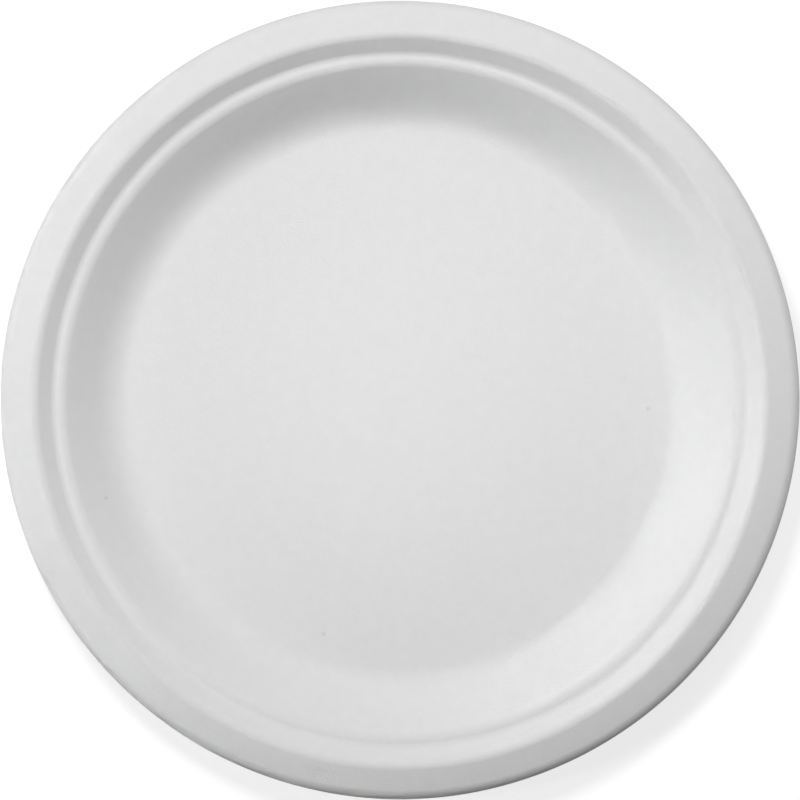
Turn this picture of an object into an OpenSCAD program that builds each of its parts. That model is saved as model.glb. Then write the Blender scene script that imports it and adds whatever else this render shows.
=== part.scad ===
// Round dinner plate, pressed from wet fibre in one piece with an even wall.
//
// The food face is a chain of stretches that run into one another: the flat
// floor, a sweep up into the side, a crest, a narrow ledge, a hollow, a riser,
// the shoulder of the rim, the rim's falling band and the lip, which ends in
// the cut edge. The underside lies one wall beneath it all the way. The chain
// is laid out from the cut edge inwards, so that the floor takes what is left.

/* [Overall] */
// Diameter across the cut edge
plate_d = 230; // [170:1:280]
// Height from the table to the highest line of the rim
plate_h = 19.2; // [16:0.1:28]
// Thickness of the pressed wall
wall = 0.7; // [0.5:0.05:1.4]

/* [Side] */
// Slope of the side, from level
side_slope = 45; // [35:1:60]
// Radius of the sweep where it leaves the floor, from where it eases to straight
heel_r = 8.7; // [5:0.1:13]

/* [Ledge] */
// Depth of the ledge below the highest line of the rim
ledge_drop = 4.5; // [3:0.1:6.5]
// Width of the ledge where it is level
ledge_w = 0.1; // [0.1:0.05:4]
// Radius of the crest between the side and the ledge
crest_r = 4.2; // [2:0.1:6]
// Radius of the hollow between the ledge and the riser
hollow_r = 2.7; // [1:0.1:4]
// Slope of the riser between the ledge and the rim, from level
riser_slope = 44.5; // [32:0.5:60]

/* [Rim] */
// Width of the rim from its highest line out to the cut edge
rim_w = 9.3; // [6.5:0.1:16]
// Radius of the shoulder at the highest line of the rim
shoulder_r = 3.1; // [2:0.1:5]
// Fall of the rim's band towards the lip, from level
band_slope = 13; // [5:0.5:30]
// Radius of the lip that turns the rim down
lip_r = 4.3; // [2.5:0.1:6]
// Slope of the lip where the edge is cut, from level
lip_slope = 66; // [45:1:85]

/* [Hidden] */

// Most that a round stretch turns between two points of the section
turn_step = 7.5;
// Points along the easing sweep
sweep_points = 10;
// Flats that a preview draws round the plate
round_fn = 80;
fibre_white = [0.93, 0.93, 0.92];

// A stretch is a list of [heading at its next point, chord up to that point],
// with headings in degrees above level, looking outwards from the axis.

// Straight run
function run(length, heading) = [[heading, length]];

// Round stretch of radius r from one heading to another
function bend(r, from, to) =
    let (n = ceil(abs(to - from) / turn_step))
    let (chord = 2 * r * sin(abs(to - from) / n / 2))
    [for (k = [1 : n]) [from + (to - from) * k / n, chord]];

// Sweep that leaves the level at radius r and whose bend fades evenly to nothing
function ease_up(r, to) =
    let (n = sweep_points)
    let (chord = 2 * r * to * PI / 180 / n)
    [for (k = [1 : n]) [to * (1 - pow(1 - k / n, 2)), chord]];

// Step from point k - 1 to point k of a stretch that starts at a heading;
// its direction is midway between the headings at its two ends
function step(stretch, start, k) =
    let (before = k == 0 ? start : stretch[k - 1][0])
    let (mid = (before + stretch[k][0]) / 2)
    stretch[k][1] * [cos(mid), sin(mid)];

// Points of a stretch, each the sum of the steps up to it
function points(stretch, start) =
    [for (k = 0, p = step(stretch, start, 0);
          k < len(stretch);
          k = k + 1, p = k < len(stretch) ? p + step(stretch, start, k) : p) p];

// How far out and how far up a stretch goes in all
function reach(stretch, start) = let (p = points(stretch, start)) p[len(p) - 1];

// Round stretches of the food face
sweep = ease_up(heel_r, side_slope);
crest = bend(crest_r, side_slope, 0);
hollow = bend(hollow_r, 0, riser_slope);
shoulder_in = bend(shoulder_r, riser_slope, 0);
shoulder_out = bend(shoulder_r, 0, -band_slope);
lip = bend(lip_r, -band_slope, -lip_slope);

// Rise or width that each straight run has to cover between them
side_rise = plate_h - wall - ledge_drop - reach(sweep, 0)[1] - reach(crest, side_slope)[1];
riser_rise = ledge_drop - reach(hollow, 0)[1] - reach(shoulder_in, riser_slope)[1];
band_w = rim_w - reach(shoulder_out, 0)[0] - reach(lip, -band_slope)[0];

// Food face from the rim of the floor to the cut edge
face = concat(
    sweep,
    run(side_rise / sin(side_slope), side_slope),
    crest,
    run(ledge_w, 0),
    hollow,
    run(riser_rise / sin(riser_slope), riser_slope),
    shoulder_in,
    shoulder_out,
    run(band_w / cos(band_slope), -band_slope),
    lip
);
floor_r = plate_d / 2 - reach(face, 0)[0];

// Half section of the wall, from the axis out to the cut edge and back beneath
module wall_section() {
    top = [for (p = points(face, 0)) p + [floor_r, wall]];
    under = [for (k = [len(face) - 1 : -1 : 0])
        top[k] + wall * [sin(face[k][0]), -cos(face[k][0])]];
    polygon(concat(
        [[0, 0], [0, wall], [floor_r, wall]],
        top,
        under,
        [[floor_r, 0]]
    ));
}

// The whole plate: one pressed wall
module plate() {
    color(fibre_white)
        rotate_extrude($fn = round_fn)
            wall_section();
}

plate();
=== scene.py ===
from math import ceil, cos, pi, radians, sin

import bmesh
import bpy
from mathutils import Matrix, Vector, noise


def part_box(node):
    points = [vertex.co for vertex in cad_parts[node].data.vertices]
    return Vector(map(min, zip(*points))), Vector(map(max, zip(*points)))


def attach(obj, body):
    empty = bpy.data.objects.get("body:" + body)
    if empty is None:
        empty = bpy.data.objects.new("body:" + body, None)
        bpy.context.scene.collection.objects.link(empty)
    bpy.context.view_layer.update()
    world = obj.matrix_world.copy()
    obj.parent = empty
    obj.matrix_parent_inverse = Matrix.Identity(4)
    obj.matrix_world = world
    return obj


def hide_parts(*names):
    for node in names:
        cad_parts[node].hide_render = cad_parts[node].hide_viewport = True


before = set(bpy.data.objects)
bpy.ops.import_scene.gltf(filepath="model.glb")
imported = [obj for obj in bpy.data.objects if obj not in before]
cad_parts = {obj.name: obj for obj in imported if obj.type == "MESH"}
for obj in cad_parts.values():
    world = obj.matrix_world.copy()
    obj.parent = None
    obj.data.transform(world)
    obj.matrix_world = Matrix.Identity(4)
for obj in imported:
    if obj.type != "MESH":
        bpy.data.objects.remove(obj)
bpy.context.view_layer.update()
scene = bpy.context.scene


# The plate, in metres and degrees. Its diameter and height come from the frame.
lowCorner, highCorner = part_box("plate")
plateShape = {
    "diameter": highCorner.x - lowCorner.x,
    "height": highCorner.z - lowCorner.z,
    "wall": 0.0007,
    "sideSlope": 45,
    "heelRadius": 0.0087,      # of the sweep where it leaves the floor, from where it eases to straight
    "crestRadius": 0.0042,
    "ledgeDrop": 0.0045,       # below the highest line of the rim
    "ledgeWidth": 0.0001,
    "hollowRadius": 0.0027,
    "riserSlope": 44.5,
    "rimWidth": 0.0093,        # from the highest line out to the cut edge
    "shoulderRadius": 0.0031,
    "bandSlope": 13,
    "lipRadius": 0.0043,
    "lipSlope": 66,
    "edgeRounding": 0.00012,   # left by the cutting die on both corners of the edge
    "roundedFrom": 60,         # sharper than this between two faces is a corner

    "unevenDepth": 0.00008,    # most that the pressed wall strays from its true form
    "unevenWidth": 0.022,      # of one rise or hollow
    "unevenStart": Vector((3.1, 7.7, 0.4)),      # where the plate lies in the noise

    "stepsAround": 360,
    "floorRings": 14,
    "sweepRings": 20,
    "sideRings": 3,
    "riserRings": 2,
    "bandRings": 3,
    "turnPerRing": 3.6,        # on the round stretches
    "roundingRings": 2,
    "weldWithin": 0.000001,
}


# Drawing the section. A tip moves outwards from the floor's edge and leaves edges behind it.
def drawRun(bm, tip, heading, length, rings=1):
    step = Vector((cos(radians(heading)), 0, sin(radians(heading)))) * length / rings
    for _ in range(rings):
        target = tip.co + step
        tip = bmesh.ops.extrude_vert_indiv(bm, verts=[tip])["verts"][0]
        tip.co = target
    return tip


def drawTurn(bm, tip, heading, toHeading, radius, rings=None):
    side = 1 if toHeading > heading else -1      # 1 bends up, -1 bends down
    turn = abs(toHeading - heading)
    upright = Vector((-sin(radians(heading)), 0, cos(radians(heading))))
    swept = bmesh.ops.spin(
        bm, geom=[tip], cent=tip.co + upright * radius * side, axis=(0, -side, 0),
        angle=radians(turn), steps=rings or ceil(turn / plateShape["turnPerRing"]),
        use_merge=False, use_normal_flip=False, use_duplicate=False,
    )
    return next(part for part in swept["geom_last"] if isinstance(part, bmesh.types.BMVert))


def drawSweep(bm, tip, toHeading, radius, rings):
    # its bend fades evenly from 1 / radius to nothing
    arcLength = 2 * radius * radians(toHeading) / rings
    heading = 0
    for k in range(1, rings + 1):
        nextHeading = toHeading * (1 - (1 - k / rings) ** 2)
        tip = drawTurn(bm, tip, heading, nextHeading, arcLength / radians(nextHeading - heading), 1)
        heading = nextHeading
    return tip


def turnRise(radius, heading, toHeading):
    return radius * abs(cos(radians(heading)) - cos(radians(toHeading)))


def turnReach(radius, heading, toHeading):
    return radius * abs(sin(radians(toHeading)) - sin(radians(heading)))


def drawSection(bm, shape):
    side, riser, band, lip = (shape[k] for k in ("sideSlope", "riserSlope", "bandSlope", "lipSlope"))
    start = tip = bm.verts.new((0, 0, 0))
    tip = drawSweep(bm, tip, side, shape["heelRadius"], shape["sweepRings"])
    ledgeHeight = shape["height"] - shape["wall"] - shape["ledgeDrop"]
    sideRise = ledgeHeight - tip.co.z - turnRise(shape["crestRadius"], side, 0)
    tip = drawRun(bm, tip, side, sideRise / sin(radians(side)), shape["sideRings"])
    tip = drawTurn(bm, tip, side, 0, shape["crestRadius"])
    tip = drawRun(bm, tip, 0, shape["ledgeWidth"])
    tip = drawTurn(bm, tip, 0, riser, shape["hollowRadius"])
    riserRise = (shape["ledgeDrop"] - turnRise(shape["hollowRadius"], 0, riser)
                 - turnRise(shape["shoulderRadius"], riser, 0))
    tip = drawRun(bm, tip, riser, riserRise / sin(radians(riser)), shape["riserRings"])
    tip = drawTurn(bm, tip, riser, -band, shape["shoulderRadius"])
    bandReach = (shape["rimWidth"] - turnReach(shape["shoulderRadius"], 0, band)
                 - turnReach(shape["lipRadius"], band, lip))
    tip = drawRun(bm, tip, -band, bandReach / cos(radians(band)), shape["bandRings"])
    tip = drawTurn(bm, tip, -band, -lip, shape["lipRadius"])

    # the chain is set with its tip on the cut edge, and the floor takes what is left inside it
    outwards = shape["diameter"] / 2 - tip.co.x
    bmesh.ops.translate(bm, verts=bm.verts[:], vec=(outwards, 0, shape["wall"]))
    drawRun(bm, start, 180, outwards, shape["floorRings"])


def unevenBy(point, shape):
    # never past the true form's own box: the floor only rises and the rim only sinks
    swell = noise.noise(point / shape["unevenWidth"] + shape["unevenStart"])
    towardsRim = (point.z - shape["wall"]) / (shape["height"] - shape["wall"])
    return shape["unevenDepth"] * (0.5 + 0.5 * swell - min(1, max(0, towardsRim)))


def pressFoodFace(bm, shape):
    # the section spun once round and turned food face up, then pressed a little unevenly
    bmesh.ops.spin(
        bm, geom=bm.verts[:] + bm.edges[:], cent=(0, 0, 0), axis=(0, 0, 1), angle=2 * pi,
        steps=shape["stepsAround"], use_merge=True, use_normal_flip=False, use_duplicate=False,
    )
    bmesh.ops.remove_doubles(bm, verts=bm.verts[:], dist=shape["weldWithin"])
    bmesh.ops.recalc_face_normals(bm, faces=bm.faces[:])
    if sum(face.normal.z for face in bm.faces) < 0:
        bmesh.ops.reverse_faces(bm, faces=bm.faces[:])
    bm.normal_update()
    for vert in bm.verts:
        vert.co += vert.normal * unevenBy(vert.co, shape)
    for face in bm.faces:
        face.smooth = True


def giveWall(plate, shape):
    thickness = plate.modifiers.new("wall", "SOLIDIFY")
    thickness.thickness = shape["wall"]
    thickness.offset = -1
    thickness.use_even_offset = True
    thickness.material_offset = 1          # underside
    thickness.material_offset_rim = 2      # cut edge
    rounding = plate.modifiers.new("edge", "BEVEL")
    rounding.width = shape["edgeRounding"]
    rounding.segments = shape["roundingRings"]
    rounding.limit_method = "ANGLE"
    rounding.angle_limit = radians(shape["roundedFrom"])


def makePlate(shape):
    bm = bmesh.new()
    drawSection(bm, shape)
    pressFoodFace(bm, shape)
    mesh = bpy.data.meshes.new("pressedPlate")
    bm.to_mesh(mesh)
    bm.free()
    plate = bpy.data.objects.new("pressedPlate", mesh)
    scene.collection.objects.link(plate)
    giveWall(plate, shape)
    return plate


plate = makePlate(plateShape)
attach(plate, "root")
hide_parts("plate")
print("plate pressed:", len(plate.data.polygons), "faces before its wall")


# Shader groups. Each puts out colours, masks or heights that change over the surface, and every
# length in them is in metres.
def newGroup(name, inputs, outputs):
    tree = bpy.data.node_groups.new(name, "ShaderNodeTree")
    for label, kind, value in inputs:
        tree.interface.new_socket(label, in_out="INPUT", socket_type=kind).default_value = value
    for label, kind in outputs:
        tree.interface.new_socket(label, in_out="OUTPUT", socket_type=kind)
    given = tree.nodes.new("NodeGroupInput")
    result = tree.nodes.new("NodeGroupOutput")
    return tree, given.outputs, result.inputs


def feed(tree, socket, value):
    if isinstance(value, bpy.types.NodeSocket):
        tree.links.new(value, socket)
    else:
        socket.default_value = value


def calc(tree, operation, *values):
    node = tree.nodes.new("ShaderNodeMath")
    node.operation = operation
    for socket, value in zip(node.inputs, values):
        feed(tree, socket, value)
    return node.outputs["Value"]


def calcVector(tree, operation, first, second, output="Vector"):
    node = tree.nodes.new("ShaderNodeVectorMath")
    node.operation = operation
    feed(tree, node.inputs[0], first)
    feed(tree, node.inputs["Scale" if operation == "SCALE" else 1], second)
    return node.outputs[output]


def objectPlace(tree):
    return tree.nodes.new("ShaderNodeTexCoord").outputs["Object"]


def noiseAt(tree, place, grain, detail):
    # grain is the size of one rise and hollow
    node = tree.nodes.new("ShaderNodeTexNoise")
    feed(tree, node.inputs["Vector"], place)
    feed(tree, node.inputs["Scale"], calc(tree, "DIVIDE", 1, grain))
    node.inputs["Detail"].default_value = detail
    return node.outputs


def makePulpCloud():
    # pulp settles a little unevenly, which shows as a faint drift in tone and in sheen
    tree, given, result = newGroup(
        "pulpCloud",
        [("Colour", "NodeSocketColor", (0.8, 0.8, 0.8, 1)), ("Patch Size", "NodeSocketFloat", 0.01),
         ("Tone Drift", "NodeSocketFloat", 0.01), ("Roughness", "NodeSocketFloat", 0.75),
         ("Roughness Drift", "NodeSocketFloat", 0.05)],
        [("Colour", "NodeSocketColor"), ("Roughness", "NodeSocketFloat")],
    )
    cloud = noiseAt(tree, objectPlace(tree), given["Patch Size"], detail=5)["Fac"]
    swing = calc(tree, "MULTIPLY_ADD", cloud, 2, -1)      # from -1 to 1
    tone = calc(tree, "MULTIPLY_ADD", swing, given["Tone Drift"], 1)
    tree.links.new(calcVector(tree, "SCALE", given["Colour"], tone), result["Colour"])
    rough = calc(tree, "MULTIPLY_ADD", swing, given["Roughness Drift"], given["Roughness"])
    tree.links.new(rough, result["Roughness"])
    return tree


# Slender fibres that lie every way, felted in layers. Each layer is a noise drawn out along its own
# direction, of which only the peaks stand up as fibres, and one soft noise bends them all.
feltLayers = {
    "directions": ((0, 12), (43, -16), (88, 9), (134, -11)),      # turn and tilt of each, in degrees
    "peaksFrom": 0.52,         # noise above this stands up
    "steepness": 5,            # with which it does
    "merging": 0.2,            # how softly fibres run into each other
    "bendWidth": 2,            # fibre lengths
}


def makeFelt():
    tree, given, result = newGroup(
        "felt",
        [("Fibre Length", "NodeSocketFloat", 0.002), ("Fibre Width", "NodeSocketFloat", 0.0002),
         ("Fibre Relief", "NodeSocketFloat", 0.00001), ("Grain Size", "NodeSocketFloat", 0.0006),
         ("Grain Relief", "NodeSocketFloat", 0.00001)],
        [("Fibres", "NodeSocketFloat"), ("Height", "NodeSocketFloat")],
    )
    place = objectPlace(tree)
    bendWidth = calc(tree, "MULTIPLY", given["Fibre Length"], feltLayers["bendWidth"])
    softNoise = noiseAt(tree, place, bendWidth, detail=0)["Color"]
    bent = calcVector(tree, "ADD", place, calcVector(tree, "SCALE", softNoise, given["Fibre Length"]))
    drawnOut = tree.nodes.new("ShaderNodeCombineXYZ")
    feed(tree, drawnOut.inputs["X"], calc(tree, "DIVIDE", given["Fibre Width"], given["Fibre Length"]))
    drawnOut.inputs["Y"].default_value = 1
    drawnOut.inputs["Z"].default_value = 1
    steepness = feltLayers["steepness"]
    fibres = 0
    for turn, tilt in feltLayers["directions"]:
        direction = tree.nodes.new("ShaderNodeMapping")
        direction.vector_type = "TEXTURE"
        direction.inputs["Rotation"].default_value = (0, radians(tilt), radians(turn))
        feed(tree, direction.inputs["Vector"], bent)
        along = calcVector(tree, "MULTIPLY", direction.outputs["Vector"], drawnOut.outputs["Vector"])
        peak = noiseAt(tree, along, given["Fibre Width"], detail=1)["Fac"]
        fibre = calc(tree, "MULTIPLY_ADD", peak, steepness, -steepness * feltLayers["peaksFrom"])
        fibres = calc(tree, "SMOOTH_MAX", fibres, fibre, feltLayers["merging"])
    grain = noiseAt(tree, place, given["Grain Size"], detail=1)["Fac"]
    height = calc(tree, "MULTIPLY", grain, given["Grain Relief"])
    tree.links.new(fibres, result["Fibres"])
    tree.links.new(calc(tree, "MULTIPLY_ADD", fibres, given["Fibre Relief"], height), result["Height"])
    return tree


def makeScreenMark():
    # the forming screen's weave, pressed into the side that lay on it
    tree, given, result = newGroup(
        "screenMark",
        [("Pitch", "NodeSocketFloat", 0.001), ("Relief", "NodeSocketFloat", 0.00001)],
        [("Height", "NodeSocketFloat")],
    )
    parts = tree.nodes.new("ShaderNodeSeparateXYZ")
    feed(tree, parts.inputs["Vector"], objectPlace(tree))
    turnPerMetre = calc(tree, "DIVIDE", 2 * pi, given["Pitch"])
    waves = [calc(tree, "SINE", calc(tree, "MULTIPLY", parts.outputs[axis], turnPerMetre))
             for axis in ("X", "Y")]
    weave = calc(tree, "MULTIPLY", *waves)
    tree.links.new(calc(tree, "MULTIPLY", weave, given["Relief"]), result["Height"])
    return tree


def makePit():
    # a round pinhole, 1 at its middle and 0 around it
    edgeSoftness = 0.3
    tree, given, result = newGroup(
        "pit",
        [("Place", "NodeSocketVector", (0, 0, 0)), ("Width", "NodeSocketFloat", 0.001)],
        [("Depth", "NodeSocketFloat")],
    )
    seenFromAbove = calcVector(tree, "MULTIPLY", objectPlace(tree), (1, 1, 0))
    away = calcVector(tree, "DISTANCE", seenFromAbove, given["Place"], "Value")
    radius = calc(tree, "DIVIDE", given["Width"], 2)
    inwards = calc(tree, "SUBTRACT", 1, calc(tree, "DIVIDE", away, radius))
    tree.links.new(calc(tree, "SMOOTH_MAX", inwards, 0, edgeSoftness), result["Depth"])
    return tree


shaderGroups = {
    "pulpCloud": makePulpCloud(),
    "felt": makeFelt(),
    "screenMark": makeScreenMark(),
    "pit": makePit(),
}


def useGroup(tree, name, **values):
    node = tree.nodes.new("ShaderNodeGroup")
    node.node_tree = shaderGroups[name]
    for label, value in values.items():
        feed(tree, node.inputs[label.replace("_", " ")], value)
    return node.outputs


def newMaterial(name):
    material = bpy.data.materials.new(name)
    material.use_nodes = True
    return material, material.node_tree, material.node_tree.nodes["Principled BSDF"].inputs


def pulpMaterial(name, finish, pits=()):
    material, tree, shader = newMaterial(name)
    cloud = useGroup(tree, "pulpCloud", Colour=(*finish["colour"], 1), Patch_Size=finish["patchSize"],
                     Tone_Drift=finish["toneDrift"], Roughness=finish["roughness"],
                     Roughness_Drift=finish["roughnessDrift"])
    felt = useGroup(tree, "felt", Fibre_Length=finish["fibreLength"], Fibre_Width=finish["fibreWidth"],
                    Fibre_Relief=finish["fibreRelief"], Grain_Size=finish["grainSize"],
                    Grain_Relief=finish["grainRelief"])
    height = felt["Height"]
    if "screenRelief" in finish:
        mark = useGroup(tree, "screenMark", Pitch=finish["screenPitch"], Relief=finish["screenRelief"])
        height = calc(tree, "ADD", height, mark["Height"])
    fibreTone = calc(tree, "MULTIPLY_ADD", felt["Fibres"], finish["fibreLightening"], 1)
    colour = calcVector(tree, "SCALE", cloud["Colour"], fibreTone)
    for place, width in pits:
        depth = useGroup(tree, "pit", Place=place, Width=width)["Depth"]
        height = calc(tree, "MULTIPLY_ADD", depth, -finish["pitDepth"], height)
        # painted shade: the colour is darkened inside each pinhole, as shade in the recess would darken
        # it
        tone = calc(tree, "MULTIPLY_ADD", depth, -finish["pitPaintedShade"], 1)
        colour = calcVector(tree, "SCALE", colour, tone)
    bump = tree.nodes.new("ShaderNodeBump")
    bump.inputs["Distance"].default_value = 1      # heights are in metres
    feed(tree, bump.inputs["Height"], height)
    feed(tree, shader["Base Color"], colour)
    feed(tree, shader["Roughness"], cloud["Roughness"])
    feed(tree, shader["Normal"], bump.outputs["Normal"])
    shader["Specular IOR Level"].default_value = finish["specular"]
    return material


# Finishes of the pressed pulp
foodFaceFinish = {
    "colour": (0.75, 0.75, 0.75), "toneDrift": 0.03, "patchSize": 0.0035,
    "roughness": 0.75, "roughnessDrift": 0.15, "specular": 0.2,
    "fibreLength": 0.0035, "fibreWidth": 0.0004, "fibreRelief": 0.00002, "fibreLightening": 0.01,
    "grainSize": 0.0007, "grainRelief": 0.000012,
    # the pits' depth, and their painted shade, a darkening of the colour inside each pit
    "pitDepth": 0.00008, "pitPaintedShade": 0.18,
}
undersideFinish = {
    "colour": (0.74, 0.74, 0.735), "toneDrift": 0.03, "patchSize": 0.003,
    "roughness": 0.85, "roughnessDrift": 0.1, "specular": 0.25,
    "fibreLength": 0.0035, "fibreWidth": 0.0005, "fibreRelief": 0.00006, "fibreLightening": 0.02,
    "grainSize": 0.0006, "grainRelief": 0.00003,
    "screenPitch": 0.0012, "screenRelief": 0.00002,
}
cutEdgeFinish = {
    "colour": (0.72, 0.72, 0.71), "toneDrift": 0.06, "patchSize": 0.0015,
    "roughness": 0.92, "roughnessDrift": 0.05, "specular": 0.2,
    "fibreLength": 0.002, "fibreWidth": 0.0003, "fibreRelief": 0.00006, "fibreLightening": 0.04,
    "grainSize": 0.0003, "grainRelief": 0.00003,
}
foodFacePits = [      # place and width of each
    (Vector((0.0720, -0.0026, 0)), 0.0017),
    (Vector((-0.0222, -0.0680, 0)), 0.0016),
    (Vector((-0.0850, -0.0283, 0)), 0.0014),
]
plate.data.materials.append(pulpMaterial("foodFace", foodFaceFinish, foodFacePits))
plate.data.materials.append(pulpMaterial("underside", undersideFinish))
plate.data.materials.append(pulpMaterial("cutEdge", cutEdgeFinish))
print("pulp finished:", len(plate.data.materials), "finishes")


# Floor, which the camera sees white apart from the plate's shadow. Its lift, where 1 is white, grows
# with the distance from the plate's middle, as the lamps' light on it fades.
floorSetup = {
    "halfSide": 4, "colour": (0.35, 0.35, 0.35), "roughness": 0.9,
    "liftNearby": 0.78, "nearbyEnds": 0.17,
    "liftFarOff": 1, "farOffBegins": 0.7,
}
white = (1, 1, 1, 1)


def seenByCamera(tree):
    # straight, mirrored or through something clear
    ray = tree.nodes.new("ShaderNodeLightPath").outputs
    mirrored = calc(tree, "MAXIMUM", ray["Is Glossy Ray"], ray["Is Transmission Ray"])
    return calc(tree, "MAXIMUM", ray["Is Camera Ray"], mirrored)


def floorMaterial():
    material, tree, shader = newMaterial("floorPaint")
    shader["Base Color"].default_value = (*floorSetup["colour"], 1)
    shader["Roughness"].default_value = floorSetup["roughness"]
    shader["Specular IOR Level"].default_value = 0
    shader["Emission Color"].default_value = white
    lift = tree.nodes.new("ShaderNodeMapRange")
    lift.interpolation_type = "SMOOTHSTEP"
    feed(tree, lift.inputs["Value"], calcVector(tree, "DISTANCE", objectPlace(tree), (0, 0, 0), "Value"))
    for label, value in (("From Min", "nearbyEnds"), ("From Max", "farOffBegins"),
                         ("To Min", "liftNearby"), ("To Max", "liftFarOff")):
        feed(tree, lift.inputs[label], floorSetup[value])
    strength = calc(tree, "MULTIPLY", seenByCamera(tree), lift.outputs["Result"])
    feed(tree, shader["Emission Strength"], strength)
    return material


def makeFloor():
    bm = bmesh.new()
    bmesh.ops.create_grid(bm, x_segments=1, y_segments=1, size=floorSetup["halfSide"])
    mesh = bpy.data.meshes.new("floor")
    bm.to_mesh(mesh)
    bm.free()
    mesh.materials.append(floorMaterial())
    floor = bpy.data.objects.new("floor", mesh)
    scene.collection.objects.link(floor)


makeFloor()
print("floor laid")


# Round lamps, each aimed at the plate's middle. Bearings run from +X towards +Y, and a narrow spread
# is that of a lamp with a grid.
lampSetups = {
    "key": {"bearing": 115, "rise": 60, "distance": 1.3, "width": 0.3, "spread": 180, "watts": 9.6},
    "near": {"bearing": 60, "rise": 40, "distance": 0.6, "width": 0.35, "spread": 180, "watts": 0.92},
    "gridded": {"bearing": 185, "rise": 48, "distance": 0.9, "width": 0.2, "spread": 20, "watts": 0.055},
    "lowLeft": {"bearing": 195, "rise": 9, "distance": 1.3, "width": 0.4, "spread": 180, "watts": 4.4},
    "lowRight": {"bearing": 345, "rise": 9, "distance": 1.3, "width": 0.4, "spread": 180, "watts": 3},
}


def makeLamp(name, setup):
    data = bpy.data.lights.new(name, "AREA")
    data.shape = "DISK"
    data.size = setup["width"]
    data.spread = radians(setup["spread"])
    data.energy = setup["watts"]
    lamp = bpy.data.objects.new(name, data)
    bearing, rise = radians(setup["bearing"]), radians(setup["rise"])
    outwards = setup["distance"] * cos(rise)
    lamp.location = (outwards * cos(bearing), outwards * sin(bearing), setup["distance"] * sin(rise))
    lamp.rotation_euler = (-lamp.location).to_track_quat("-Z", "Y").to_euler()
    lamp.visible_camera = False
    scene.collection.objects.link(lamp)


def makeWorld():
    # white where it is seen, and otherwise it gives no light
    world = bpy.data.worlds.new("studio")
    world.use_nodes = True
    tree = world.node_tree
    background = tree.nodes["Background"].inputs
    background["Color"].default_value = white
    feed(tree, background["Strength"], seenByCamera(tree))
    scene.world = world


for lampName, lampSetup in lampSetups.items():
    makeLamp(lampName, lampSetup)
makeWorld()
scene.view_settings.view_transform = "Standard"
print("lamps set:", len(lampSetups))


# Camera straight above the plate, which fills the picture
cameraSetup = {
    "height": 1.6,
    "outlineHeight": 0.0154,   # where the plate is widest
    "margin": 1.001,           # width of the picture there, as a share of the plate's
    "sensorWidth": 36,         # in millimetres
    "seesTo": 20,
}


def makeCamera():
    data = bpy.data.cameras.new("camera")
    data.sensor_width = cameraSetup["sensorWidth"]
    distance = cameraSetup["height"] - cameraSetup["outlineHeight"]
    data.lens = data.sensor_width * distance / (plateShape["diameter"] * cameraSetup["margin"])
    data.clip_end = cameraSetup["seesTo"]
    camera = bpy.data.objects.new("camera", data)
    camera.location = (0, 0, cameraSetup["height"])
    scene.collection.objects.link(camera)
    scene.camera = camera


makeCamera()
print("camera set")
